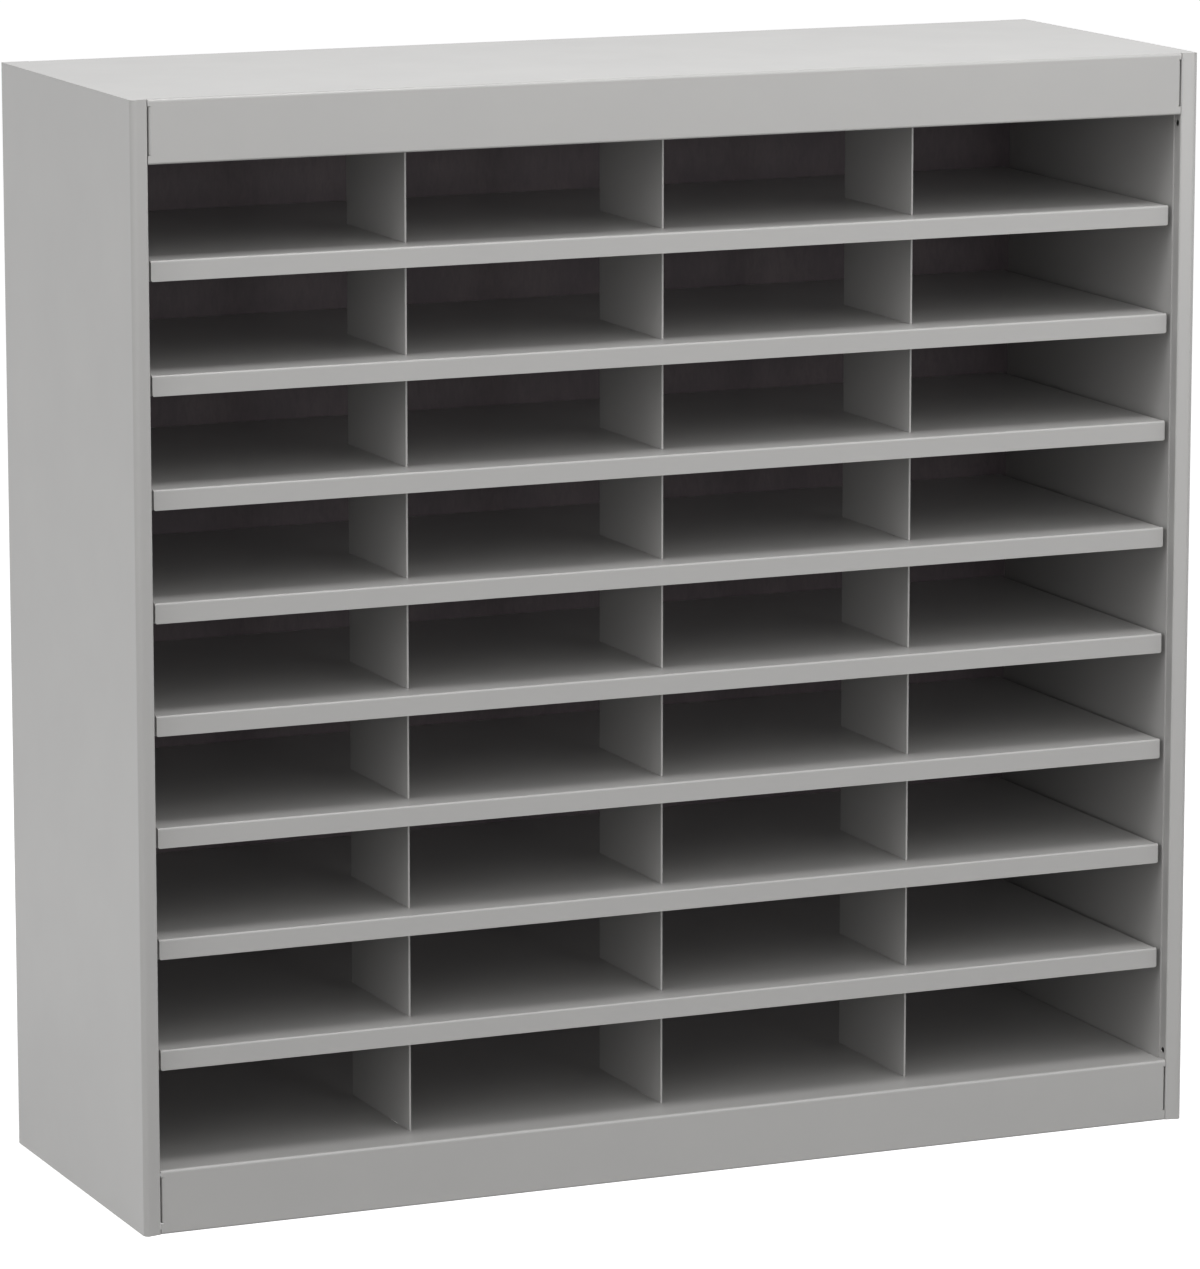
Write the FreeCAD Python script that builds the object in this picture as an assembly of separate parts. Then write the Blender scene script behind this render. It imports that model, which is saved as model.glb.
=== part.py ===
import FreeCAD, Part
import math
import os

# Pigeonhole mail sorter: a free-standing cabinet of folded steel sheet with rows of shelves
# and short dividers between them. Millimetres. X runs to the right, Y from front to back and
# Z up. The origin is the middle of the footprint, at floor level.

# Overall size, without the screw heads at the back
cabinet_width = 952.5
cabinet_depth = 323.85
cabinet_height = 927.1

# Sheet and board
panel_sheet = 0.9
liner_sheet = 0.9
shelf_sheet = 0.9
divider_sheet = 0.9
clip_sheet = 1.2
board_thickness = 3.2
inside_bend = 0.9
flat_fold_limit = 2.0

# Clearances
seam_gap = 0.25
fit_gap = 0.3
slot_clearance = 0.25
hole_clearance = 0.15

# Side walls: a folded outer skin and a lapped inner liner
post_width = 14.8
post_slant = 3.4
post_corner_bend = 3.2
post_return = 22.0
post_edge_reveal = 10.8
rear_flange = 24.0
liner_flange = 13.0
stiffener_crown = 30.0
stiffener_brim = 14.0
stiffener_end_gap = 60.0
hang_hole_radius = 2.6
hang_hole_setback = 6.0
hang_hole_offset = 7.5

# Top and base
fascia_height = 52.2
kick_height = 53.5
face_bend = 1.6
edge_return = 12.0
end_flange_depth = 9.5
end_flange_gap = 1.0
end_flange_top_margin = 6.0
fascia_flange_bottom_margin = 7.5
kick_flange_bottom_margin = 9.2
bend_relief = 0.4
rear_drop = 20.0
floor_flange = 12.0
rail_flange = 25.0
top_stiffener_depth = 18.0
top_stiffener_end_gap = 30.0

# Shelves
shelf_rows = 9
column_count = 4
ceiling_lip = 13.55
bottom_row_extra = 5.6
shelf_lip = 17.0
shelf_setback = 10.5
shelf_end_gap = 4.2
shelf_rear_gap = 1.0
lip_return = 9.0
lip_return_end_gap = 14.0
lip_snip = 1.1

# Dividers
divider_setback = 27.5
divider_length = 130.0
hem_depth = 8.0
hem_thickness = 1.9
hem_chamfer = 0.55
slot_end_margin = 14.0
tab_length = 12.0
hook_length = 5.0
hook_height = 3.0
hook_room = 0.8
divider_top_gap = 0.4

# Shelf clips
clip_width = 20.0
clip_rise = 10.0
clip_hook_drop = 7.0
clip_lip = 5.0
clip_gap = 0.2
clip_setback = 34.0
slot_headroom = 1.6

# Screws of the back board
screw_radius = 1.75
screw_head_radius = 3.5
screw_head_height = 2.1
screw_point = 3.0
screws_per_side = 3
screw_end_margin = 70.0
screw_edge_margin = 4.0
screw_board_gap = 1.25

# Planes worked out from the sizes above. The posts' front corners are rounded off, so the
# sharp corner of the fold lies a little in front of the cabinet.
post_corner = post_corner_bend + panel_sheet
post_slope = post_slant / post_width
tip_y = -(cabinet_depth + screw_head_height) / 2
front_y = tip_y - post_corner * (post_slope + math.hypot(1, post_slope) - 1)
back_y = tip_y + cabinet_depth
face_y = front_y + post_slant
outer_x = cabinet_width / 2
post_x = outer_x - post_width
flange_x = post_x - end_flange_gap
liner_x = post_x - liner_sheet
wall_height = cabinet_height - panel_sheet
board_channel = board_thickness + fit_gap
board_y = back_y - panel_sheet - board_channel
liner_front_y = face_y + post_edge_reveal
frame_x = outer_x - rear_flange
rail_height = kick_height - panel_sheet
screw_x = liner_x + liner_flange - screw_edge_margin
fold = inside_bend + panel_sheet

fascia_bottom = cabinet_height - fascia_height
ceiling_z = fascia_bottom + panel_sheet + ceiling_lip
row_pitch = (ceiling_z - kick_height - bottom_row_extra) / shelf_rows
shelf_x = liner_x - shelf_end_gap
shelf_front_y = face_y + shelf_setback
shelf_back_y = board_y - shelf_rear_gap
column_width = 2 * shelf_x / column_count

divider_y = shelf_front_y + divider_setback
front_slot_length = 2 * tab_length + hook_length + 2 * slot_clearance + fit_gap
rear_slot_length = tab_length + hook_length + 2 * slot_clearance
front_slot_y = divider_y + slot_end_margin
rear_slot_y = divider_y + divider_length - slot_end_margin - rear_slot_length


def shelf_top(number):
    return ceiling_z - number * row_pitch


def divider_x(column):
    return -shelf_x + column * column_width


# ---- Folded sheet

def plan(u, v):
    return FreeCAD.Vector(u, v, 0)


def side_on(u, v):
    return FreeCAD.Vector(0, u, v)


def face_on(u, v):
    return FreeCAD.Vector(u, 0, v)


def unit(start, end):
    length = math.dist(start, end)
    return ((end[0] - start[0]) / length, (end[1] - start[1]) / length)


def moved(point, way, distance):
    return (point[0] + way[0] * distance, point[1] + way[1] * distance)


def turn_at(before, after):
    cross = before[0] * after[1] - before[1] * after[0]
    dot = before[0] * after[0] + before[1] * after[1]
    return math.atan2(cross, dot)


def offset_corners(path, distance):
    # The path moved to its left, with its corners mitred.
    ways = [unit(a, b) for a, b in zip(path, path[1:])]
    corners = []
    for index, point in enumerate(path):
        before = ways[max(index - 1, 0)]
        after = ways[min(index, len(ways) - 1)]
        share = 1 + before[0] * after[0] + before[1] * after[1]
        left = (-(before[1] + after[1]), before[0] + after[0])
        corners.append(moved(point, left, distance / share))
    return corners


def rounded_edges(points, radii, plane, flats=()):
    # Straight runs joined by tangent arcs, with a radius for each inner corner. The corners
    # numbered in flats get a flat instead of an arc.
    edges = []
    start = points[0]
    for index, radius in enumerate(radii):
        corner = points[index + 1]
        before = unit(points[index], corner)
        after = unit(corner, points[index + 2])
        turn = abs(turn_at(before, after))
        run = radius * math.tan(turn / 2)
        arc_start = moved(corner, before, -run)
        arc_end = moved(corner, after, run)
        if math.dist(start, arc_start) > 1e-6:
            edges.append(Part.makeLine(plane(*start), plane(*arc_start)))
        if run > 0 and index in flats:
            edges.append(Part.makeLine(plane(*arc_start), plane(*arc_end)))
        elif run > 0:
            inward = unit(before, after)
            middle = moved(corner, inward, radius / math.cos(turn / 2) - radius)
            edges.append(Part.Arc(plane(*arc_start), plane(*middle), plane(*arc_end)).toShape())
        start = arc_end
    if math.dist(start, points[-1]) > 1e-6:
        edges.append(Part.makeLine(plane(*start), plane(*points[-1])))
    return edges


def sheet_section(path, thickness, plane, bends=inside_bend):
    # Section of a folded sheet: path is one face of the sheet, which lies on the path's left.
    # bends holds the inside radius of every fold, or one radius for all of them, and 0 makes
    # a sharp fold. The hollow side of a tight fold is a flat.
    if not isinstance(bends, list):
        bends = [bends] * (len(path) - 2)
    other = offset_corners(path, thickness)
    near_radii = []
    far_radii = []
    near_flats = []
    far_flats = []
    for index, bend in enumerate(bends):
        turn = turn_at(unit(path[index], path[index + 1]), unit(path[index + 1], path[index + 2]))
        outside = bend + thickness if bend else 0
        near_radii.append(outside if turn > 0 else bend)
        far_radii.insert(0, bend if turn > 0 else outside)
        if bend < flat_fold_limit and turn > 0:
            far_flats.append(len(bends) - 1 - index)
        elif bend < flat_fold_limit:
            near_flats.append(index)
    near = rounded_edges(path, near_radii, plane, near_flats)
    far = rounded_edges(other[::-1], far_radii, plane, far_flats)
    near_end = Part.makeLine(plane(*path[-1]), plane(*other[-1]))
    far_end = Part.makeLine(plane(*other[0]), plane(*path[0]))
    return Part.Face(Part.Wire(near + [near_end] + far + [far_end]))


def outline_face(corners, radii, plane):
    # A closed outline, with the corner at each point rounded to the radius of the same number.
    first = corners[0]
    last = corners[-1]
    middle = ((first[0] + last[0]) / 2, (first[1] + last[1]) / 2)
    return Part.Face(Part.Wire(rounded_edges([middle] + corners + [middle], radii, plane)))


def polygon_face(corners, plane):
    points = [plane(*corner) for corner in corners]
    return Part.Face(Part.makePolygon(points + points[:1]))


def along_x(face, low, high):
    face.translate(FreeCAD.Vector(low, 0, 0))
    return face.extrude(FreeCAD.Vector(high - low, 0, 0))


def along_y(face, low, high):
    face.translate(FreeCAD.Vector(0, low, 0))
    return face.extrude(FreeCAD.Vector(0, high - low, 0))


def along_z(face, low, high):
    face.translate(FreeCAD.Vector(0, 0, low))
    return face.extrude(FreeCAD.Vector(0, 0, high - low))


def block(x, y, z):
    return Part.makeBox(x[1] - x[0], y[1] - y[0], z[1] - z[0], FreeCAD.Vector(x[0], y[0], z[0]))


def mirrored(shape):
    return shape.mirror(FreeCAD.Vector(0, 0, 0), FreeCAD.Vector(1, 0, 0))


def both_sides(shape):
    return [shape, mirrored(shape)]


def joined(shapes):
    return shapes[0].multiFuse(shapes[1:]).removeSplitter()


def without(shape, cuts):
    return shape.cut(Part.makeCompound(cuts)).removeSplitter()


def spread(low, high, count):
    return [low + (high - low) * index / max(count - 1, 1) for index in range(count)]


# ---- Where the screws and the clips go

def screw_heights():
    return spread(kick_height + screw_end_margin, wall_height - screw_end_margin, screws_per_side)


def clip_places():
    return [shelf_front_y + clip_setback, shelf_back_y - clip_setback]


def ledge_heights():
    # Height of each clip's ledge: the underside of the lip it carries.
    heights = [shelf_top(number) - shelf_lip for number in range(1, shelf_rows)]
    return [ceiling_z - ceiling_lip] + heights


def screw_holes(face, sheet):
    # Through a sheet whose rear face lies at face.
    holes = []
    for z in screw_heights():
        centre = FreeCAD.Vector(screw_x, face - 2 * sheet, z)
        radius = screw_radius + hole_clearance
        holes.append(Part.makeCylinder(radius, 3 * sheet, centre, FreeCAD.Vector(0, 1, 0)))
    return holes


# ---- Side walls

def side_skin():
    # Folded round from the post's return flange to the rear flange, with a plate at each end.
    corners = [(post_x, face_y), (outer_x, front_y), (outer_x, back_y)]
    path = [(post_x, face_y + post_return)] + corners + [(frame_x, back_y)]
    bends = [inside_bend, post_corner_bend, inside_bend]
    wall = along_z(sheet_section(path, panel_sheet, plan, bends), 0, wall_height)
    plate_corners = corners + [(post_x, back_y)]
    plate_radii = [fold, post_corner, fold, 0]
    foot = along_z(outline_face(plate_corners, plate_radii, plan), 0, panel_sheet)
    head = along_z(outline_face(plate_corners, plate_radii, plan), wall_height - panel_sheet, wall_height)
    skin = joined([wall, foot, head])
    holes = []
    for z in (kick_height + hang_hole_offset, fascia_bottom - hang_hole_offset):
        centre = FreeCAD.Vector(post_x - panel_sheet, face_y + hang_hole_setback, z)
        holes.append(Part.makeCylinder(hang_hole_radius, 3 * panel_sheet, centre, FreeCAD.Vector(1, 0, 0)))
    return without(skin, holes + screw_holes(back_y, panel_sheet))


def side_liner():
    # Laps on the post's return flange in front and turns outwards in front of the back board.
    path = [(liner_x + liner_flange, board_y), (liner_x, board_y), (liner_x, liner_front_y)]
    section = sheet_section(path, liner_sheet, plan, 0)
    liner = along_z(section, panel_sheet, wall_height - panel_sheet)
    through = (liner_x - liner_sheet, post_x + liner_sheet)
    half = clip_width / 2 + slot_clearance
    openings = []
    for ledge in ledge_heights():
        low = ledge + clip_rise
        for y in clip_places():
            openings.append(block(through, (y - half, y + half), (low, low + clip_sheet + slot_headroom)))
    return without(liner, openings + screw_holes(board_y, liner_sheet))


def hat_section(depth, sheet, plane, base, way):
    # A top-hat channel centred on the first axis: brims at base, crown at base + way * depth.
    crown = stiffener_crown / 2
    brim = crown + stiffener_brim
    top = base + way * (depth - sheet)
    path = [(-brim, base), (-crown, base), (-crown, top), (crown, top), (crown, base), (brim, base)]
    if way < 0:
        path.reverse()
    return sheet_section(path, sheet, plane, 0)


def side_stiffener():
    # Brims on the inside of the skin, crown on the back of the liner.
    def turned(u, v):
        return FreeCAD.Vector(v, u, 0)
    wall_inside = outer_x - panel_sheet
    section = hat_section(wall_inside - post_x, panel_sheet, turned, wall_inside, -1)
    return along_z(section, stiffener_end_gap, wall_height - stiffener_end_gap)


# ---- Top and base

def end_flange(low, high):
    # The folded end of the fascia or the kick, which leaves a slit beside the post.
    path = [(flange_x - 2 * fold, face_y), (flange_x, face_y), (flange_x, face_y + end_flange_depth)]
    return along_z(sheet_section(path, panel_sheet, plan), low, high)


def with_end_flanges(panel, low, high):
    # Cuts the face back between the bend reliefs and folds the end flange there.
    skin = (face_y - seam_gap, face_y + panel_sheet)
    notch = block((flange_x - 2 * fold, post_x), skin, (low, high))
    relief = block((flange_x - fold, post_x), skin, (low - bend_relief, high + bend_relief))
    panel = without(panel, both_sides(notch) + both_sides(relief))
    return joined([panel] + both_sides(end_flange(low, high)))


def top_panel():
    face_x = post_x - seam_gap
    drop_x = frame_x - seam_gap
    corners = [(-outer_x, front_y), (-post_x, face_y), (post_x, face_y), (outer_x, front_y),
               (outer_x, back_y), (-outer_x, back_y)]
    radii = [post_corner, 0, 0, post_corner, fold, fold]
    plate = along_z(outline_face(corners, radii, plan), wall_height, cabinet_height)
    over = (fascia_bottom, cabinet_height + panel_sheet)
    face_fold = face_bend + panel_sheet
    front_cut = block((-post_x, post_x), (front_y, face_y + face_fold), over)
    rear_cut = block((-frame_x, frame_x), (back_y - fold, back_y + seam_gap), over)
    plate = without(plate, [front_cut, rear_cut])
    fascia_path = [(face_y + 2 * face_fold, cabinet_height), (face_y, cabinet_height),
                   (face_y, fascia_bottom), (face_y + edge_return, fascia_bottom)]
    fascia_section = sheet_section(fascia_path, panel_sheet, side_on, [face_bend, inside_bend])
    fascia = along_x(fascia_section, -face_x, face_x)
    # The bottom return stops short of the liners.
    beside_liner = block((liner_x - fit_gap, outer_x), (face_y + fold, back_y),
                         (fascia_bottom - panel_sheet, fascia_bottom + fold))
    fascia = without(fascia, both_sides(beside_liner))
    drop_path = [(back_y, cabinet_height - rear_drop), (back_y, cabinet_height),
                 (back_y - 2 * fold, cabinet_height)]
    drop = along_x(sheet_section(drop_path, panel_sheet, side_on), -drop_x, drop_x)
    panel = joined([plate, fascia, drop])
    return with_end_flanges(panel, fascia_bottom + fascia_flange_bottom_margin,
                            cabinet_height - end_flange_top_margin)


def top_stiffener():
    section = hat_section(top_stiffener_depth, panel_sheet, side_on, wall_height, -1)
    reach = liner_x - top_stiffener_end_gap
    return along_x(section, -reach, reach)


def base_panel():
    # Rear upstand, floor, kick plate and bottom return in one sheet.
    face_x = post_x - seam_gap
    floor_x = liner_x - fit_gap
    upstand_x = frame_x - seam_gap
    upstand_y = back_y - panel_sheet
    path = [(upstand_y, kick_height + rear_drop), (upstand_y, kick_height), (face_y, kick_height),
            (face_y, 0), (face_y + edge_return, 0)]
    section = sheet_section(path, panel_sheet, side_on, [inside_bend, face_bend, inside_bend])
    panel = along_x(section, -face_x, face_x)
    above_kick = (kick_height - panel_sheet - fit_gap, kick_height + 2 * rear_drop)
    step_y = liner_front_y - fit_gap
    end_y = upstand_y - fit_gap - fold
    # The floor's ends fold down beside the liners, and the upstand fits between the skins.
    beside_liner = block((floor_x - fold, outer_x), (step_y, back_y + seam_gap), above_kick)
    behind = block((upstand_x, outer_x), (end_y, back_y + seam_gap), above_kick)
    panel = without(panel, both_sides(beside_liner) + both_sides(behind))
    fold_path = [(floor_x, kick_height - floor_flange), (floor_x, kick_height),
                 (floor_x - 2 * fold, kick_height)]
    flange = along_y(sheet_section(fold_path, panel_sheet, face_on), step_y, end_y)
    panel = joined([panel] + both_sides(flange))
    panel = with_end_flanges(panel, kick_flange_bottom_margin, kick_height - end_flange_top_margin)
    return slotted(panel, kick_height, panel_sheet)


def base_rear_rail():
    web_y = back_y - panel_sheet
    path = [(web_y - rail_flange, 0), (web_y, 0), (web_y, rail_height), (web_y - rail_flange, rail_height)]
    reach = liner_x - 2 * fit_gap
    rail = along_x(sheet_section(path, panel_sheet, side_on, 0), -reach, reach)
    # Clear of the floor's end flanges, which run down beside the liners.
    clear = block((reach - fold, outer_x), (web_y - rail_flange - fit_gap, web_y - panel_sheet),
                  (kick_height - floor_flange - fit_gap, kick_height))
    return without(rail, both_sides(clear))


def back_board():
    board_x = screw_x - screw_radius - screw_board_gap
    foot = kick_height + inside_bend + fit_gap
    head = wall_height - panel_sheet - fit_gap
    return block((-board_x, board_x), (board_y, board_y + board_thickness), (foot, head))


# ---- Shelves

def shelf_pan(top, lip):
    # A shallow pan turned upside down. Its front fold and lip run the full width, and its end
    # flanges start behind them, past a small bend relief.
    low = top - lip
    edge = inside_bend + shelf_sheet
    end_x = shelf_x - edge
    strip_y = shelf_front_y + 2 * edge
    path = [(shelf_back_y, low), (shelf_back_y, top), (shelf_front_y, top), (shelf_front_y, low),
            (shelf_front_y + lip_return, low)]
    main = along_x(sheet_section(path, shelf_sheet, side_on, [0, inside_bend, 0]), -end_x, end_x)
    return_end = shelf_x - lip_return_end_gap
    short_return = block((return_end, shelf_x), (shelf_front_y + shelf_sheet, shelf_back_y - edge),
                         (low - shelf_sheet, low + shelf_sheet))
    main = without(main, both_sides(short_return))
    fold_path = [(strip_y, top), (shelf_front_y, top), (shelf_front_y, top - 2 * edge)]
    front_fold = along_x(sheet_section(fold_path, shelf_sheet, side_on), -shelf_x, shelf_x)
    lip_corners = [(-shelf_x, low + lip_snip), (lip_snip - shelf_x, low), (shelf_x - lip_snip, low),
                   (shelf_x, low + lip_snip), (shelf_x, top - edge), (-shelf_x, top - edge)]
    front_lip = along_y(polygon_face(lip_corners, face_on), shelf_front_y, shelf_front_y + shelf_sheet)
    end_path = [(shelf_x, low), (shelf_x, top), (end_x - edge, top)]
    end = along_y(sheet_section(end_path, shelf_sheet, face_on), strip_y + bend_relief, shelf_back_y - edge)
    return joined([main, front_fold, front_lip] + both_sides(end))


def slotted(panel, top, sheet):
    half = divider_sheet / 2 + slot_clearance
    slots = []
    for column in range(1, column_count):
        side = (divider_x(column) - half, divider_x(column) + half)
        for start, length in ((front_slot_y, front_slot_length), (rear_slot_y, rear_slot_length)):
            slots.append(block(side, (start, start + length), (top - 2 * sheet, top + sheet)))
    return without(panel, slots)


def ceiling_panel():
    return slotted(shelf_pan(ceiling_z, ceiling_lip), ceiling_z, shelf_sheet)


def shelf(number):
    top = shelf_top(number)
    return slotted(shelf_pan(top, shelf_lip), top, shelf_sheet)


# ---- Dividers

def divider(row, column):
    # Stands on the sheet below. The front tab hooks forward under that sheet and the rear tab
    # fills its slot. The top edge has a tab into the sheet above, behind a notch that clears
    # the hook of the divider above.
    below = kick_height if row == shelf_rows else shelf_top(row)
    lower_sheet = panel_sheet if row == shelf_rows else shelf_sheet
    above = ceiling_z if row == 1 else shelf_top(row - 1)
    under = below - lower_sheet - fit_gap
    top = above - shelf_sheet - divider_top_gap
    tip = above - slot_clearance
    notch = above - shelf_sheet - fit_gap - hook_height - hook_room
    front = divider_y + hem_chamfer
    rear = divider_y + divider_length
    neck = front_slot_y + slot_clearance
    hook = neck - hook_length
    upper_tab = neck + tab_length + hook_length
    rear_tab = rear_slot_y + slot_clearance + hook_length
    bottom_edge = [(front, below), (neck, below), (neck, under), (hook, under), (hook, under - hook_height),
                   (neck + tab_length, under - hook_height), (neck + tab_length, below),
                   (rear_tab, below), (rear_tab, under), (rear_tab + tab_length, under),
                   (rear_tab + tab_length, below), (rear, below)]
    top_edge = [(rear, top), (upper_tab + tab_length, top), (upper_tab + tab_length, tip), (upper_tab, tip),
                (upper_tab, notch), (hook - hook_room, notch), (hook - hook_room, top), (front, top)]
    x = divider_x(column)
    left = x - divider_sheet / 2
    plate = along_x(polygon_face(bottom_edge + top_edge, side_on), left, left + divider_sheet)
    right = left + hem_thickness
    hem_y = divider_y + hem_depth
    hem_outline = [(left + hem_chamfer, divider_y), (right - hem_chamfer, divider_y), (right, front),
                   (right, hem_y), (left, hem_y), (left, front)]
    hem = along_z(polygon_face(hem_outline, plan), below, top)
    return joined([plate, hem])


# ---- Shelf clips and screws

def shelf_clip(ledge, y):
    # Hooks over the lower edge of its slot in the liner and carries the shelf on its ledge.
    hook_x = post_x + clip_gap + clip_sheet
    leg_x = liner_x - clip_gap - clip_sheet
    lip_x = shelf_x - shelf_sheet - clip_gap
    arm = ledge + clip_rise + clip_sheet
    path = [(hook_x, arm - clip_sheet - clip_hook_drop), (hook_x, arm), (leg_x, arm), (leg_x, ledge),
            (lip_x, ledge), (lip_x, ledge + clip_lip)]
    return along_y(sheet_section(path, clip_sheet, face_on, 0), y - clip_width / 2, y + clip_width / 2)


def shelf_clips():
    return [shelf_clip(ledge, y) for ledge in ledge_heights() for y in clip_places()]


def back_screw(z):
    # Goes through the rear flange, past the board's edge and into the liner's flange.
    length = panel_sheet + board_channel + liner_sheet + screw_point
    start = FreeCAD.Vector(screw_x, back_y - length, z)
    seat = FreeCAD.Vector(screw_x, back_y, z)
    backwards = FreeCAD.Vector(0, 1, 0)
    shank = Part.makeCylinder(screw_radius, length, start, backwards)
    head = Part.makeCylinder(screw_head_radius, screw_head_height, seat, backwards)
    return joined([shank, head])


# ---- Assembly

def write(name, shape):
    if not shape.isValid():
        raise ValueError(name + " is not a valid shape")
    shape.exportStep("parts/" + name + ".step")
    print(name, len(shape.Solids), "solids", round(shape.Volume), "mm3")


def main():
    os.makedirs("parts", exist_ok=True)
    for name, shape in (("side_skin", side_skin()), ("side_liner", side_liner()),
                        ("side_stiffener", side_stiffener())):
        write(name + "_right", shape)
        write(name + "_left", mirrored(shape))
    write("top_panel", top_panel())
    write("top_stiffener", top_stiffener())
    write("ceiling_panel", ceiling_panel())
    write("base_panel", base_panel())
    write("base_rear_rail", base_rear_rail())
    write("back_board", back_board())
    for number in range(1, shelf_rows):
        write("shelf_%d" % number, shelf(number))
    for row in range(1, shelf_rows + 1):
        for column in range(1, column_count):
            write("divider_r%d_c%d" % (row, column), divider(row, column))
    clips = shelf_clips()
    write("shelf_clips_right", Part.makeCompound(clips))
    write("shelf_clips_left", Part.makeCompound([mirrored(clip) for clip in clips]))
    screws = [back_screw(z) for z in screw_heights()]
    screws += [mirrored(one) for one in screws]
    write("back_screws", Part.makeCompound(screws))


main()
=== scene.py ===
import bpy
import bmesh
import math
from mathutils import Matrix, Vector


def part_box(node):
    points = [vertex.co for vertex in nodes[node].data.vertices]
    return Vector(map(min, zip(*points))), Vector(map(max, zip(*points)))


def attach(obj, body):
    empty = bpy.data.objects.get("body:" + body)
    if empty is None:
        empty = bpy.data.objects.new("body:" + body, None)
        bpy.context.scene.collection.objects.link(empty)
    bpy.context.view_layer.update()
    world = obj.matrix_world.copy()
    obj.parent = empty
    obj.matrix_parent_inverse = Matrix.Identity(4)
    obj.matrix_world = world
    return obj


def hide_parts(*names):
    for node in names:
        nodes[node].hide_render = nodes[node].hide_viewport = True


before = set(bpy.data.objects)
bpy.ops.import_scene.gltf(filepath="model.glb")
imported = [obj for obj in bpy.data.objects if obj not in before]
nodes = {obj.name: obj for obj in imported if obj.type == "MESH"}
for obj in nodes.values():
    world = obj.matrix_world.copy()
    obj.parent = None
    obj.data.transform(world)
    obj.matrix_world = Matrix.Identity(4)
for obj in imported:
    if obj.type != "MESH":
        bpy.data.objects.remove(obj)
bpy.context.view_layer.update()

# Blender works in metres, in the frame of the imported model. Sizes in the dictionaries are
# millimetres and angles are degrees.
mm = 0.001

# Sockets of a Mix node that mixes colours, and of a Random Value node that gives a float
colourA, colourB, mixedColour = 6, 7, 2
randomMax, randomFloat = 3, 1


def toLinear(hexColour):
    # sRGB hex to linear red, green, blue and alpha
    channels = [int(hexColour[i:i + 2], 16) / 255 for i in (1, 3, 5)]
    return [c / 12.92 if c <= 0.04045 else ((c + 0.055) / 1.055) ** 2.4 for c in channels] + [1]


def addNode(tree, kind, inputs=None, **settings):
    # Adds one node, sets its properties, and fills each input with a value or a link.
    node = tree.nodes.new(kind)
    for name, value in settings.items():
        setattr(node, name, value)
    for name, value in (inputs or {}).items():
        if isinstance(value, bpy.types.NodeSocket):
            tree.links.new(value, node.inputs[name])
        else:
            node.inputs[name].default_value = value
    return node


def perMetre(size):
    return 1 / (size * mm)      # noise scale for a pattern that repeats about every size mm


def wavesPerMetre(size):
    return perMetre(size) * math.pi / 10        # at scale 1 a wave texture repeats every pi / 10


def newMaterial(name):
    material = bpy.data.materials.new(name)
    material.use_nodes = True
    material.node_tree.nodes.clear()
    return material, material.node_tree


# Finishes

powderCoatLook = {
    "colour": "#B4B3B1",        # light warm grey
    "thinFilm": "#AFAEAD",      # where the film is a little thinner
    "filmPatch": 70.0,
    "filmDetail": 3.0,
    "filmRagged": 0.6,
    "roughness": 0.32,
    "roughnessSpread": 0.03,
    "ior": 1.5,
    "peelSize": 3.4,            # orange peel is 1 to 2 mm wide; drawn coarser so that it shows
    "peelDetail": 1.5,
    "peelRagged": 0.5,
    "peelDepth": 0.004,
    "panelWave": 190.0,         # thin sheet is never quite flat
    "panelWaveDepth": 0.10,
}


def makePowderCoat():
    # Polyester powder coat on steel, baked: silk gloss, faint orange peel, no grain.
    look = powderCoatLook
    material, tree = newMaterial("greyPowderCoat")
    place = addNode(tree, "ShaderNodeTexCoord").outputs["Object"]
    film = addNode(tree, "ShaderNodeTexNoise", {
        "Vector": place, "Scale": perMetre(look["filmPatch"]), "Detail": look["filmDetail"],
        "Roughness": look["filmRagged"]})
    tint = addNode(tree, "ShaderNodeMix", {
        "Factor": film.outputs["Fac"], colourA: toLinear(look["thinFilm"]),
        colourB: toLinear(look["colour"])}, data_type="RGBA")
    gloss = addNode(tree, "ShaderNodeMapRange", {
        "Value": film.outputs["Fac"], "To Min": look["roughness"] + look["roughnessSpread"],
        "To Max": look["roughness"] - look["roughnessSpread"]})
    wave = addNode(tree, "ShaderNodeTexNoise", {
        "Vector": place, "Scale": perMetre(look["panelWave"]), "Detail": 0.0})
    peel = addNode(tree, "ShaderNodeTexNoise", {
        "Vector": place, "Scale": perMetre(look["peelSize"]), "Detail": look["peelDetail"],
        "Roughness": look["peelRagged"]})
    waved = addNode(tree, "ShaderNodeBump", {
        "Height": wave.outputs["Fac"], "Distance": look["panelWaveDepth"] * mm, "Strength": 1.0})
    peeled = addNode(tree, "ShaderNodeBump", {
        "Height": peel.outputs["Fac"], "Distance": look["peelDepth"] * mm, "Strength": 1.0,
        "Normal": waved.outputs["Normal"]})
    shader = addNode(tree, "ShaderNodeBsdfPrincipled", {
        "Base Color": tint.outputs[mixedColour], "Roughness": gloss.outputs["Result"], "IOR": look["ior"],
        "Normal": peeled.outputs["Normal"]})
    addNode(tree, "ShaderNodeOutputMaterial", {"Surface": shader.outputs["BSDF"]})
    return material


hardboardLook = {
    "colour": "#4A4146",        # factory stained, near black
    "fibre": "#5A5053",
    "fibreSize": 5.0,
    "fibreStretch": 3.0,
    "fibreDetail": 5.0,
    "fibreRagged": 0.7,
    "fibreWander": 0.6,
    "cloudSize": 60.0,
    "cloudDetail": 2.0,
    "darkestAt": 0.12,          # fibres times clouds, from the board's colour to the fibres'
    "palestAt": 0.40,
    "roughness": 0.62,
    "ior": 1.5,
    "screenPitch": 6.0,         # press screen marks behind, really 1.5 mm apart, drawn coarser to show
    "screenDepth": 0.11,
    "screenWaver": 0.4,
    "screenCrest": "#6A6163",   # painted highlight: lighter where the marks stand up, in place of the light and shade of their relief
}


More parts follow.
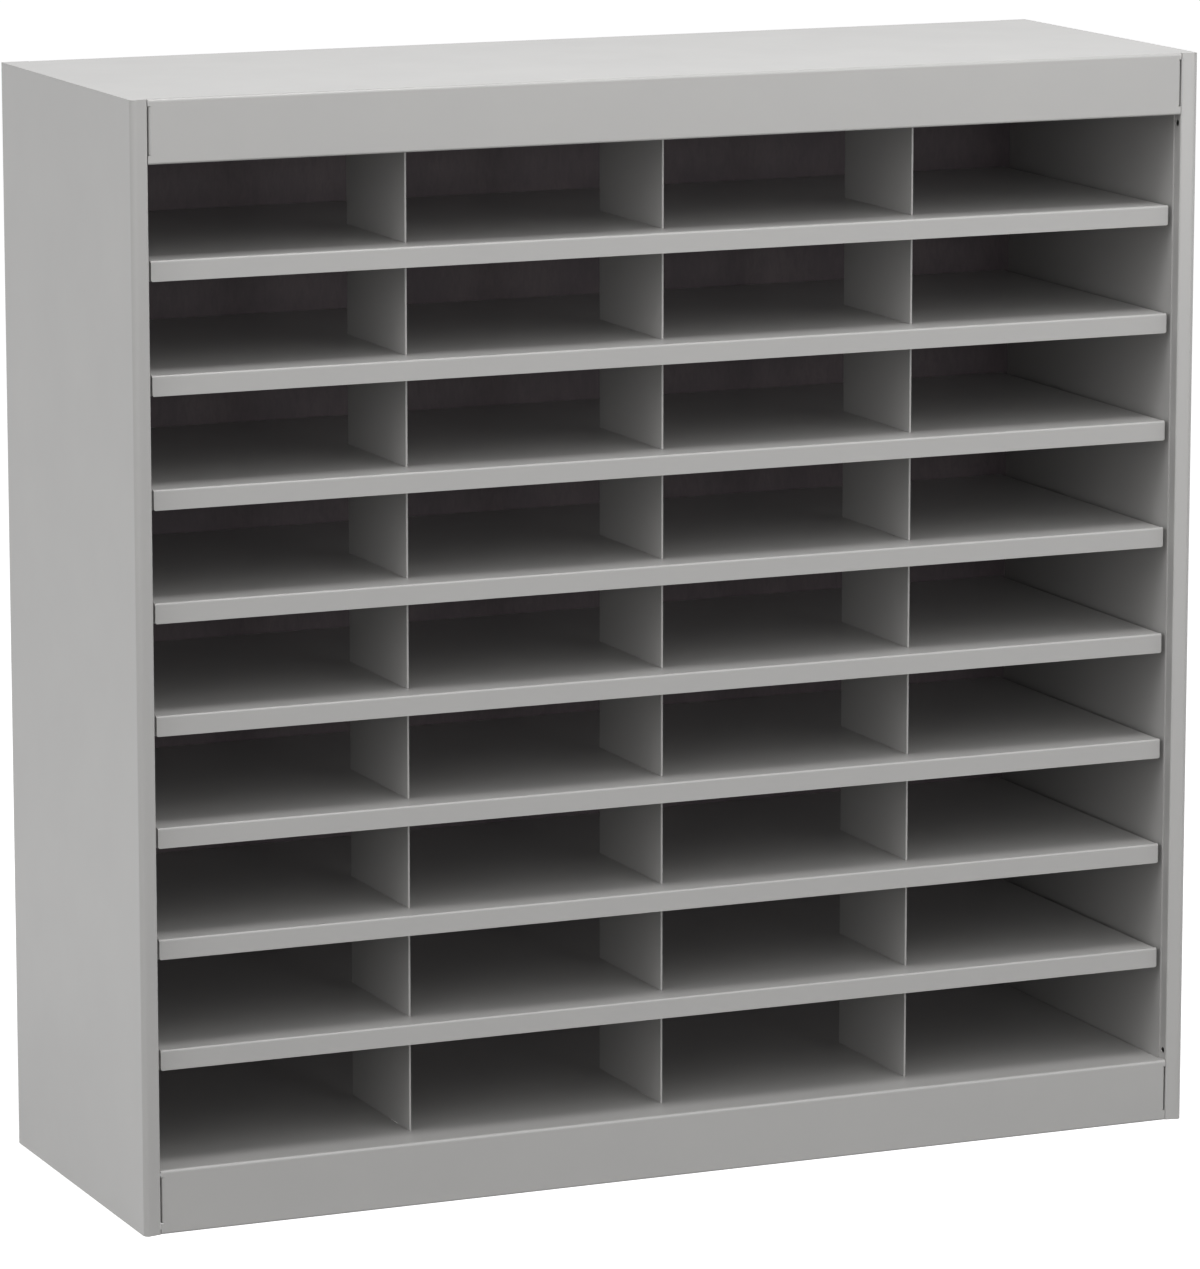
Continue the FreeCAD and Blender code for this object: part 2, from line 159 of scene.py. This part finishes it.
def makeHardboard():
    # Dark hardboard, smooth in front and marked by the press screen behind.
    look = hardboardLook
    material, tree = newMaterial("darkHardboard")
    coords = addNode(tree, "ShaderNodeTexCoord")
    place = coords.outputs["Object"]
    stretched = addNode(tree, "ShaderNodeMapping", {
        "Vector": place, "Scale": (1, 1, 1 / look["fibreStretch"])})
    fibres = addNode(tree, "ShaderNodeTexNoise", {
        "Vector": stretched.outputs["Vector"], "Scale": perMetre(look["fibreSize"]),
        "Detail": look["fibreDetail"], "Roughness": look["fibreRagged"], "Distortion": look["fibreWander"]})
    clouds = addNode(tree, "ShaderNodeTexNoise", {
        "Vector": place, "Scale": perMetre(look["cloudSize"]), "Detail": look["cloudDetail"]})
    mixed = addNode(tree, "ShaderNodeMath", {
        0: fibres.outputs["Fac"], 1: clouds.outputs["Fac"]}, operation="MULTIPLY")
    spread = addNode(tree, "ShaderNodeMapRange", {
        "Value": mixed.outputs["Value"], "From Min": look["darkestAt"], "From Max": look["palestAt"]})
    tint = addNode(tree, "ShaderNodeMix", {
        "Factor": spread.outputs["Result"], colourA: toLinear(look["colour"]),
        colourB: toLinear(look["fibre"])}, data_type="RGBA")

    # The screen's marks, on the face that looks backwards only
    across = addNode(tree, "ShaderNodeTexWave", {
        "Vector": place, "Scale": wavesPerMetre(look["screenPitch"]), "Distortion": look["screenWaver"]},
        bands_direction="X")
    upward = addNode(tree, "ShaderNodeTexWave", {
        "Vector": place, "Scale": wavesPerMetre(look["screenPitch"]), "Distortion": look["screenWaver"]},
        bands_direction="Z")
    screen = addNode(tree, "ShaderNodeMath", {
        0: across.outputs["Fac"], 1: upward.outputs["Fac"]}, operation="MULTIPLY")
    facing = addNode(tree, "ShaderNodeSeparateXYZ", {"Vector": coords.outputs["Normal"]})
    behind = addNode(tree, "ShaderNodeMath", {0: facing.outputs["Y"], 1: 0.5}, operation="GREATER_THAN")
    marks = addNode(tree, "ShaderNodeMath", {
        0: screen.outputs["Value"], 1: behind.outputs["Value"]}, operation="MULTIPLY")
    # Painted highlight: the raised screen marks are coloured lighter, standing in for the light their relief
    # would catch
    crestWithPaintedHighlight = addNode(tree, "ShaderNodeMix", {
        "Factor": marks.outputs["Value"], colourA: tint.outputs[mixedColour],
        colourB: toLinear(look["screenCrest"])}, data_type="RGBA")
    relief = addNode(tree, "ShaderNodeBump", {
        "Height": marks.outputs["Value"], "Distance": look["screenDepth"] * mm, "Strength": 1.0})
    shader = addNode(tree, "ShaderNodeBsdfPrincipled", {
        "Base Color": crestWithPaintedHighlight.outputs[mixedColour], "Roughness": look["roughness"], "IOR": look["ior"],
        "Normal": relief.outputs["Normal"]})
    addNode(tree, "ShaderNodeOutputMaterial", {"Surface": shader.outputs["BSDF"]})
    return material


zincLook = {
    "colour": "#B9BCBD",
    "dull": "#9FA3A6",
    "spangle": 2.2,
    "spangleDetail": 2.0,
    "roughness": 0.38,
    "roughnessSpread": 0.08,
}


def makeZinc():
    # Bright zinc plating: metal, slightly cloudy, satin reflections.
    look = zincLook
    material, tree = newMaterial("brightZincPlate")
    place = addNode(tree, "ShaderNodeTexCoord").outputs["Object"]
    cloud = addNode(tree, "ShaderNodeTexNoise", {
        "Vector": place, "Scale": perMetre(look["spangle"]), "Detail": look["spangleDetail"]})
    tint = addNode(tree, "ShaderNodeMix", {
        "Factor": cloud.outputs["Fac"], colourA: toLinear(look["dull"]),
        colourB: toLinear(look["colour"])}, data_type="RGBA")
    gloss = addNode(tree, "ShaderNodeMapRange", {
        "Value": cloud.outputs["Fac"], "To Min": look["roughness"] + look["roughnessSpread"],
        "To Max": look["roughness"] - look["roughnessSpread"]})
    shader = addNode(tree, "ShaderNodeBsdfPrincipled", {
        "Base Color": tint.outputs[mixedColour], "Roughness": gloss.outputs["Result"], "Metallic": 1.0})
    addNode(tree, "ShaderNodeOutputMaterial", {"Surface": shader.outputs["BSDF"]})
    return material


powderCoat = makePowderCoat()
hardboard = makeHardboard()
zincPlate = makeZinc()
finishOf = {"cabinet_paint": powderCoat, "shelf_paint": powderCoat, "divider_paint": powderCoat,
            "back_board": hardboard, "zinc": zincPlate}
slotOf = {name: node.material_slots[0].material.name for name, node in nodes.items()}
for name, node in nodes.items():
    node.material_slots[0].material = finishOf[slotOf[name]]
print("finishes on", len(nodes), "nodes")


# Helpers for meshes

def newPiece(name, mesh, material):
    piece = bpy.data.objects.new(name, mesh)
    bpy.context.scene.collection.objects.link(piece)
    mesh.materials.clear()
    mesh.materials.append(material)
    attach(piece, "root")
    return piece


def newTree(name, sizes, takesGeometry=False):
    # A geometry tree with a named input for each size, and one geometry output.
    tree = bpy.data.node_groups.new(name, "GeometryNodeTree")
    tree.interface.new_socket("Geometry", in_out="OUTPUT", socket_type="NodeSocketGeometry")
    if takesGeometry:
        tree.interface.new_socket("Geometry", in_out="INPUT", socket_type="NodeSocketGeometry")
    for label, size in sizes.items():
        kind = "NodeSocketInt" if isinstance(size, int) else "NodeSocketFloat"
        tree.interface.new_socket(label, in_out="INPUT", socket_type=kind)
    return tree, addNode(tree, "NodeGroupInput").outputs


def grow(name, tree, sizes, base=None):
    # Runs a geometry tree on a base mesh and keeps what it makes as a plain mesh.
    holder = bpy.data.objects.new(name, base or bpy.data.meshes.new(name))
    bpy.context.scene.collection.objects.link(holder)
    modifier = holder.modifiers.new(name, "NODES")
    modifier.node_group = tree
    for socket in tree.interface.items_tree:
        if socket.in_out == "INPUT" and socket.name in sizes:
            modifier[socket.identifier] = sizes[socket.name]
    shape = holder.evaluated_get(bpy.context.evaluated_depsgraph_get())
    mesh = bpy.data.meshes.new_from_object(shape)
    holder.modifiers.remove(modifier)
    bpy.data.objects.remove(holder)
    return mesh


# Sheet metal with its cut edges rounded off

sheetLook = {
    "edgeRound": 0.22,          # deburred edge under a film of powder coat
    "edgeSteps": 2,
    "sharpFrom": 30.0,          # the folds' own steps are finer
    "weld": 0.001,
    "flatWithin": 0.5,          # faces nearer than this to one plane become one
}


def softenSheet(nodeName):
    # The node's own shape: loose triangles joined, flat faces made whole, and sharp edges rounded.
    look = sheetLook
    firstWord, *otherWords = nodeName.split("_")
    pieceName = firstWord + "".join(word.capitalize() for word in otherWords)
    bm = bmesh.new()
    bm.from_mesh(nodes[nodeName].data)
    bmesh.ops.remove_doubles(bm, verts=bm.verts, dist=look["weld"] * mm)
    bmesh.ops.dissolve_limit(bm, angle_limit=math.radians(look["flatWithin"]), verts=bm.verts, edges=bm.edges)
    mesh = bpy.data.meshes.new(pieceName)
    bm.to_mesh(mesh)
    bm.free()
    piece = newPiece(pieceName, mesh, powderCoat)
    mesh.shade_smooth()
    bevel = piece.modifiers.new("roundedEdges", "BEVEL")
    bevel.width = look["edgeRound"] * mm
    bevel.segments = look["edgeSteps"]
    bevel.limit_method = "ANGLE"
    bevel.angle_limit = math.radians(look["sharpFrom"])
    evened = piece.modifiers.new("flatFacesKept", "WEIGHTED_NORMAL")
    evened.keep_sharp = True
    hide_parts(nodeName)


paintedNodes = [name for name in nodes if finishOf[slotOf[name]] is powderCoat]
for name in paintedNodes:
    softenSheet(name)
print("edges rounded on", len(paintedNodes), "sheet pieces")


# Screws of the back board

screwLook = {
    "headRadius": 3.5,
    "headHeight": 2.1,
    "shoulder": 3.4,            # 2 makes the pan head a dome, 8 a disc
    "headSteps": 16,
    "headSides": 32,
    "recessWidth": 3.5,
    "recessDepth": 1.3,
    "recessFoot": 0.2,          # half its width at the bottom, as a share of recessWidth
    "recessProud": 0.05,        # the cutter stands out of the head
    "bladeShare": 0.26,         # how narrow each blade of the cross is
    "crestRadius": 1.75,
    "coreRadius": 1.35,
    "coreSteps": 12,
    "coreSides": 16,
    "pitch": 1.27,
    "threadSteps": 18,          # per turn
    "threadSides": 3,
    "point": 3.0,
    "weld": 0.01,
    "smoothBelow": 35,
    "perSide": 3,
    "turnSeed": 11,
}


def makeScrewTree(sizes):
    # Pan-head sheet metal screws with a cross recess, in a column at each side.
    look = screwLook
    tree, given = newTree("backScrewTree", sizes)

    # Head: a line along the axis, closer stepped near the top, swept by a ring that shrinks
    # there like one side of a flattened circle
    axis = addNode(tree, "GeometryNodeCurvePrimitiveLine", {"End": (0, 0, 1)})
    steps = addNode(tree, "GeometryNodeResampleCurve", {"Curve": axis.outputs[0], "Count": look["headSteps"]})
    along = addNode(tree, "GeometryNodeSplineParameter")
    angle = addNode(tree, "ShaderNodeMath", {
        0: along.outputs["Factor"], 1: math.pi / 2}, operation="MULTIPLY")
    sine = addNode(tree, "ShaderNodeMath", {0: angle.outputs[0]}, operation="SINE")
    flatness = addNode(tree, "ShaderNodeMath", {0: 2.0, 1: given["Shoulder"]}, operation="DIVIDE")
    rise = addNode(tree, "ShaderNodeMath", {0: sine.outputs[0], 1: flatness.outputs[0]}, operation="POWER")
    height = addNode(tree, "ShaderNodeMath", {
        0: rise.outputs[0], 1: given["Head Height"]}, operation="MULTIPLY")
    spot = addNode(tree, "ShaderNodeCombineXYZ", {"Z": height.outputs[0]})
    placed = addNode(tree, "GeometryNodeSetPosition", {
        "Geometry": steps.outputs[0], "Position": spot.outputs[0]})
    fallen = addNode(tree, "ShaderNodeMath", {
        0: along.outputs["Factor"], 1: given["Shoulder"]}, operation="POWER")
    left = addNode(tree, "ShaderNodeMath", {
        0: 1.0, 1: fallen.outputs[0]}, operation="SUBTRACT", use_clamp=True)
    root = addNode(tree, "ShaderNodeMath", {0: 1.0, 1: given["Shoulder"]}, operation="DIVIDE")
    reach = addNode(tree, "ShaderNodeMath", {0: left.outputs[0], 1: root.outputs[0]}, operation="POWER")
    radius = addNode(tree, "ShaderNodeMath", {
        0: reach.outputs[0], 1: given["Head Radius"]}, operation="MULTIPLY")
    ring = addNode(tree, "GeometryNodeCurvePrimitiveCircle", {"Resolution": look["headSides"], "Radius": 1.0})
    dome = addNode(tree, "GeometryNodeCurveToMesh", {
        "Curve": placed.outputs[0], "Profile Curve": ring.outputs[0], "Scale": radius.outputs[0],
        "Fill Caps": True})
    head = addNode(tree, "GeometryNodeMergeByDistance", {
        "Geometry": dome.outputs[0], "Distance": look["weld"] * mm})

    # Recess: two flattened four-sided cones, crossed and taken out of the head
    half = addNode(tree, "ShaderNodeMath", {0: given["Recess Width"], 1: 0.5}, operation="MULTIPLY")
    foot = addNode(tree, "ShaderNodeMath", {
        0: given["Recess Width"], 1: look["recessFoot"]}, operation="MULTIPLY")
    blade = addNode(tree, "GeometryNodeMeshCone", {
        "Vertices": 4, "Radius Top": half.outputs[0], "Radius Bottom": foot.outputs[0],
        "Depth": given["Recess Depth"]})
    floorZ = addNode(tree, "ShaderNodeMath", {
        0: given["Head Height"], 1: given["Recess Depth"]}, operation="SUBTRACT")
    raised = addNode(tree, "ShaderNodeMath", {
        0: floorZ.outputs[0], 1: look["recessProud"] * mm}, operation="ADD")
    seat = addNode(tree, "ShaderNodeCombineXYZ", {"Z": raised.outputs[0]})
    recessed = addNode(tree, "GeometryNodeMeshBoolean", {
        "Mesh 1": head.outputs[0]}, operation="DIFFERENCE", solver="EXACT")
    for narrowAxis in ("Y", "X"):
        shape = addNode(tree, "ShaderNodeCombineXYZ", {
            "X": 1.0, "Y": 1.0, "Z": 1.0, narrowAxis: given["Blade Share"]})
        cut = addNode(tree, "GeometryNodeTransform", {
            "Geometry": blade.outputs["Mesh"], "Translation": seat.outputs[0], "Scale": shape.outputs[0]})
        tree.links.new(cut.outputs[0], recessed.inputs["Mesh 2"])

    # Shank: a core that runs out to a point, and a three-sided thread wound on it
    down = addNode(tree, "ShaderNodeMath", {0: given["Shank Length"], 1: -1.0}, operation="MULTIPLY")
    tip = addNode(tree, "ShaderNodeCombineXYZ", {"Z": down.outputs[0]})
    core = addNode(tree, "GeometryNodeCurvePrimitiveLine", {"End": tip.outputs[0]})
    coreSteps = addNode(tree, "GeometryNodeResampleCurve", {
        "Curve": core.outputs[0], "Count": look["coreSteps"]})
    toTip = addNode(tree, "ShaderNodeMath", {
        0: given["Shank Length"], 1: along.outputs["Length"]}, operation="SUBTRACT")
    taper = addNode(tree, "ShaderNodeMath", {
        0: toTip.outputs[0], 1: given["Point"]}, operation="DIVIDE", use_clamp=True)
    coreRadius = addNode(tree, "ShaderNodeMath", {
        0: taper.outputs[0], 1: given["Core Radius"]}, operation="MULTIPLY")
    coreRing = addNode(tree, "GeometryNodeCurvePrimitiveCircle", {
        "Resolution": look["coreSides"], "Radius": 1.0})
    shank = addNode(tree, "GeometryNodeCurveToMesh", {
        "Curve": coreSteps.outputs[0], "Profile Curve": coreRing.outputs[0], "Scale": coreRadius.outputs[0],
        "Fill Caps": True})
    threaded = addNode(tree, "ShaderNodeMath", {
        0: given["Shank Length"], 1: given["Point"]}, operation="SUBTRACT")
    turns = addNode(tree, "ShaderNodeMath", {0: threaded.outputs[0], 1: given["Pitch"]}, operation="DIVIDE")
    helix = addNode(tree, "GeometryNodeCurveSpiral", {
        "Resolution": look["threadSteps"], "Rotations": turns.outputs[0],
        "Start Radius": given["Core Radius"], "End Radius": given["Core Radius"],
        "Height": threaded.outputs[0]})
    ridge = addNode(tree, "ShaderNodeMath", {
        0: given["Crest Radius"], 1: given["Core Radius"]}, operation="SUBTRACT")
    ridgeSection = addNode(tree, "GeometryNodeCurvePrimitiveCircle", {
        "Resolution": look["threadSides"], "Radius": ridge.outputs[0]})
    thread = addNode(tree, "GeometryNodeCurveToMesh", {
        "Curve": helix.outputs[0], "Profile Curve": ridgeSection.outputs[0], "Fill Caps": True})
    threadDrop = addNode(tree, "ShaderNodeMath", {0: threaded.outputs[0], 1: -1.0}, operation="MULTIPLY")
    threadPlace = addNode(tree, "ShaderNodeCombineXYZ", {"Z": threadDrop.outputs[0]})
    threadDown = addNode(tree, "GeometryNodeTransform", {
        "Geometry": thread.outputs[0], "Translation": threadPlace.outputs[0]})
    screw = addNode(tree, "GeometryNodeJoinGeometry")
    for part in (threadDown, shank, recessed):
        tree.links.new(part.outputs[0], screw.inputs[0])

    # One column at each side, every screw turned by chance
    columns = addNode(tree, "GeometryNodeJoinGeometry")
    for side in (-1.0, 1.0):
        x = addNode(tree, "ShaderNodeMath", {0: given["Column X"], 1: side}, operation="MULTIPLY")
        low = addNode(tree, "ShaderNodeCombineXYZ", {
            "X": x.outputs[0], "Y": given["Seat Y"], "Z": given["Lowest Z"]})
        high = addNode(tree, "ShaderNodeCombineXYZ", {
            "X": x.outputs[0], "Y": given["Seat Y"], "Z": given["Highest Z"]})
        column = addNode(tree, "GeometryNodeMeshLine", {
            "Count": given["Screws Per Side"], "Start Location": low.outputs[0], "Offset": high.outputs[0]},
            mode="END_POINTS")
        tree.links.new(column.outputs[0], columns.inputs[0])
    chance = addNode(tree, "FunctionNodeRandomValue", {
        "Seed": given["Turn Seed"], randomMax: math.tau}, data_type="FLOAT")
    turn = addNode(tree, "ShaderNodeCombineXYZ", {"X": -math.pi / 2, "Y": chance.outputs[randomFloat]})
    copies = addNode(tree, "GeometryNodeInstanceOnPoints", {
        "Points": columns.outputs[0], "Instance": screw.outputs[0], "Rotation": turn.outputs[0]})
    real = addNode(tree, "GeometryNodeRealizeInstances", {"Geometry": copies.outputs[0]})
    fold = addNode(tree, "GeometryNodeInputMeshEdgeAngle")
    gentle = addNode(tree, "ShaderNodeMath", {
        0: fold.outputs["Unsigned Angle"], 1: math.radians(look["smoothBelow"])}, operation="LESS_THAN")
    smooth = addNode(tree, "GeometryNodeSetShadeSmooth", {
        "Geometry": real.outputs[0], "Shade Smooth": gentle.outputs[0]}, domain="EDGE")
    coated = addNode(tree, "GeometryNodeSetMaterial", {
        "Geometry": smooth.outputs[0], "Material": zincPlate})
    addNode(tree, "NodeGroupOutput", {"Geometry": coated.outputs[0]})
    return tree


def makeBackScrews():
    look = screwLook
    low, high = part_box("back_screws")
    seatY = high[1] - look["headHeight"] * mm
    sizes = {
        "Head Radius": look["headRadius"] * mm,
        "Head Height": look["headHeight"] * mm,
        "Shoulder": look["shoulder"],
        "Recess Width": look["recessWidth"] * mm,
        "Recess Depth": look["recessDepth"] * mm,
        "Blade Share": look["bladeShare"],
        "Crest Radius": look["crestRadius"] * mm,
        "Core Radius": look["coreRadius"] * mm,
        "Pitch": look["pitch"] * mm,
        "Point": look["point"] * mm,
        "Shank Length": seatY - low[1],
        "Column X": high[0] - look["headRadius"] * mm,
        "Seat Y": seatY,
        "Lowest Z": low[2] + look["headRadius"] * mm,
        "Highest Z": high[2] - look["headRadius"] * mm,
        "Screws Per Side": look["perSide"],
        "Turn Seed": look["turnSeed"],
    }
    mesh = grow("backScrews", makeScrewTree(sizes), sizes)
    screws = newPiece("backScrews", mesh, zincPlate)
    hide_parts("back_screws")
    print("back screws:", len(mesh.polygons), "faces")


makeBackScrews()


# Shelf clips

clipLook = {
    "stripWidth": 20.0,
    "sheet": 1.2,
    "bendRadius": 1.25,         # to the middle of the strip
    "bendSteps": 5,
    "rise": 10.0,               # ledge to the lower edge of the slot
    "hookDrop": 7.0,
    "lip": 5.0,
    "slotGap": 0.2,
    "shelves": 8,
}


def makeClipTree(sizes):
    # Each chain of edges becomes a folded strip with rounded bends.
    tree, given = newTree("shelfClipTree", sizes, takesGeometry=True)
    chains = addNode(tree, "GeometryNodeMeshToCurve", {"Mesh": given["Geometry"]})
    bent = addNode(tree, "GeometryNodeFilletCurve", {
        "Curve": chains.outputs[0], "Radius": given["Bend Radius"], "Count": clipLook["bendSteps"]},
        mode="POLY")
    section = addNode(tree, "GeometryNodeCurvePrimitiveQuadrilateral", {
        "Width": given["Sheet"], "Height": given["Strip Width"]})
    strips = addNode(tree, "GeometryNodeCurveToMesh", {
        "Curve": bent.outputs[0], "Profile Curve": section.outputs[0], "Fill Caps": True})
    real = addNode(tree, "GeometryNodeRealizeInstances", {"Geometry": strips.outputs[0]})
    coated = addNode(tree, "GeometryNodeSetMaterial", {"Geometry": real.outputs[0], "Material": zincPlate})
    addNode(tree, "NodeGroupOutput", {"Geometry": coated.outputs[0]})
    return tree


def clipChain(bm, side, ledge, y):
    # The middle line of one clip, from its hook behind the liner to the lip inside the shelf.
    look = clipLook
    middle = look["sheet"] * mm / 2
    low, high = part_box("shelf_clips_right")
    hookX = high[0] - middle
    lipX = low[0] + middle
    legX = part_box("side_liner_right")[0][0] - look["slotGap"] * mm - middle
    arm = ledge + look["rise"] * mm + middle
    points = [(hookX, arm - middle - look["hookDrop"] * mm), (hookX, arm), (legX, arm),
              (legX, ledge - middle), (lipX, ledge - middle), (lipX, ledge + look["lip"] * mm)]
    verts = [bm.verts.new((side * x, y, z)) for x, z in points]
    for pair in zip(verts, verts[1:]):
        bm.edges.new(pair)


def makeShelfClips(side, nodeName):
    look = clipLook
    low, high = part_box(nodeName)
    half = look["stripWidth"] * mm / 2
    bm = bmesh.new()
    for shelfName in ["ceiling_panel"] + ["shelf_%d" % (count + 1) for count in range(look["shelves"])]:
        for y in (low[1] + half, high[1] - half):
            clipChain(bm, side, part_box(shelfName)[0][2], y)
    base = bpy.data.meshes.new(nodeName)
    bm.to_mesh(base)
    bm.free()
    sizes = {"Sheet": look["sheet"] * mm, "Strip Width": look["stripWidth"] * mm,
             "Bend Radius": look["bendRadius"] * mm}
    pieceName = "shelfClipsRight" if side > 0 else "shelfClipsLeft"
    mesh = grow(pieceName, makeClipTree(sizes), sizes, base)
    clips = newPiece(pieceName, mesh, zincPlate)
    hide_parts(nodeName)
    print(pieceName + ":", len(mesh.polygons), "faces")


makeShelfClips(1, "shelf_clips_right")
makeShelfClips(-1, "shelf_clips_left")


# Floor, light and camera

def seenRays(tree):
    # 1 for what the camera and the reflections see, 0 for the soft light
    rays = addNode(tree, "ShaderNodeLightPath")
    seen = addNode(tree, "ShaderNodeMath", {
        0: rays.outputs["Is Camera Ray"], 1: rays.outputs["Is Glossy Ray"]}, operation="MAXIMUM")
    return seen.outputs["Value"]


floorLook = {
    "size": 60000,
    "colour": "#F6F6F6",        # as the camera and the reflections see it
    "bounce": "#7C7C7C",        # as the soft light sees it
    "lift": 0.66,               # takes the far floor up to white, and leaves the shadow
}


def makeFloor():
    look = floorLook
    material, tree = newMaterial("paleStudioFloor")
    seen = seenRays(tree)
    tone = addNode(tree, "ShaderNodeMix", {
        "Factor": seen, colourA: toLinear(look["bounce"]), colourB: toLinear(look["colour"])},
        data_type="RGBA")
    matt = addNode(tree, "ShaderNodeBsdfDiffuse", {"Color": tone.outputs[mixedColour]})
    lift = addNode(tree, "ShaderNodeMath", {0: seen, 1: look["lift"]}, operation="MULTIPLY")
    glow = addNode(tree, "ShaderNodeEmission", {"Strength": lift.outputs["Value"]})
    both = addNode(tree, "ShaderNodeAddShader", {0: matt.outputs["BSDF"], 1: glow.outputs["Emission"]})
    addNode(tree, "ShaderNodeOutputMaterial", {"Surface": both.outputs["Shader"]})
    half = look["size"] * mm / 2
    mesh = bpy.data.meshes.new("studioFloor")
    corners = [(-half, -half, 0), (half, -half, 0), (half, half, 0), (-half, half, 0)]
    mesh.from_pydata(corners, [], [(0, 1, 2, 3)])
    mesh.materials.append(material)
    floor = bpy.data.objects.new("studioFloor", mesh)
    bpy.context.scene.collection.objects.link(floor)


lampLook = {
    # Azimuth 0 stands in front of the cabinet, negative to its left. Power is in watts.
    "sideLamp": {
        "azimuth": -80, "elevation": 25, "distance": 4500, "width": 2400, "height": 2000, "power": 62},
    "lowLamp": {
        "azimuth": -50, "elevation": 10, "distance": 4500, "width": 2400, "height": 2000, "power": 17},
    "boomLamp": {
        "azimuth": 5, "elevation": 70, "distance": 2200, "width": 900, "height": 600, "power": 19},
    "rightLamp": {      # large, so that its reflection in the top doesn't clip from behind
        "azimuth": 38, "elevation": 30, "distance": 1800, "width": 2100, "height": 1400, "power": 10},
    "frontLamp": {
        "azimuth": 4, "elevation": 6, "distance": 6000, "width": 2000, "height": 1500, "power": 43},
}
lampAim = (0, 0, 500)


def makeLamps():
    for name, look in lampLook.items():
        azimuth = math.radians(look["azimuth"])
        elevation = math.radians(look["elevation"])
        outwards = Vector((math.sin(azimuth) * math.cos(elevation), -math.cos(azimuth) * math.cos(elevation),
                           math.sin(elevation)))
        lamp = bpy.data.lights.new(name, "AREA")
        lamp.shape = "RECTANGLE"
        lamp.size = look["width"] * mm
        lamp.size_y = look["height"] * mm
        lamp.energy = look["power"]
        holder = bpy.data.objects.new(name, lamp)
        holder.location = (Vector(lampAim) + outwards * look["distance"]) * mm
        holder.rotation_euler = (-outwards).to_track_quat("-Z", "Y").to_euler()
        bpy.context.scene.collection.objects.link(holder)


worldLook = {
    "level": 0.38,              # for the soft light; the camera and the reflections see 1
    "tint": "#FFFFFF",
}


def makeWorld():
    look = worldLook
    world = bpy.data.worlds.new("studioRoom")
    world.use_nodes = True
    tree = world.node_tree
    tree.nodes.clear()
    level = addNode(tree, "ShaderNodeMapRange", {
        "Value": seenRays(tree), "To Min": look["level"], "To Max": 1.0})
    light = addNode(tree, "ShaderNodeBackground", {
        "Color": toLinear(look["tint"]), "Strength": level.outputs["Result"]})
    addNode(tree, "ShaderNodeOutputWorld", {"Surface": light.outputs["Background"]})
    bpy.context.scene.world = world


cameraLook = {
    "place": (-2221.5, -5146.7, 1491.9),
    "turn": (79.325, 0, -23.317),
    "lens": 190.2,
    "sensor": 36,
    "farClip": 100000,
}


def makeCamera():
    look = cameraLook
    lens = bpy.data.cameras.new("mainCamera")
    lens.lens = look["lens"]
    lens.sensor_width = look["sensor"]
    lens.clip_end = look["farClip"] * mm
    camera = bpy.data.objects.new("mainCamera", lens)
    camera.location = Vector(look["place"]) * mm
    camera.rotation_euler = [math.radians(angle) for angle in look["turn"]]
    bpy.context.scene.collection.objects.link(camera)
    bpy.context.scene.camera = camera


makeFloor()
makeLamps()
makeWorld()
makeCamera()
bpy.context.scene.view_settings.view_transform = "Standard"
print("floor, lamps and camera placed")
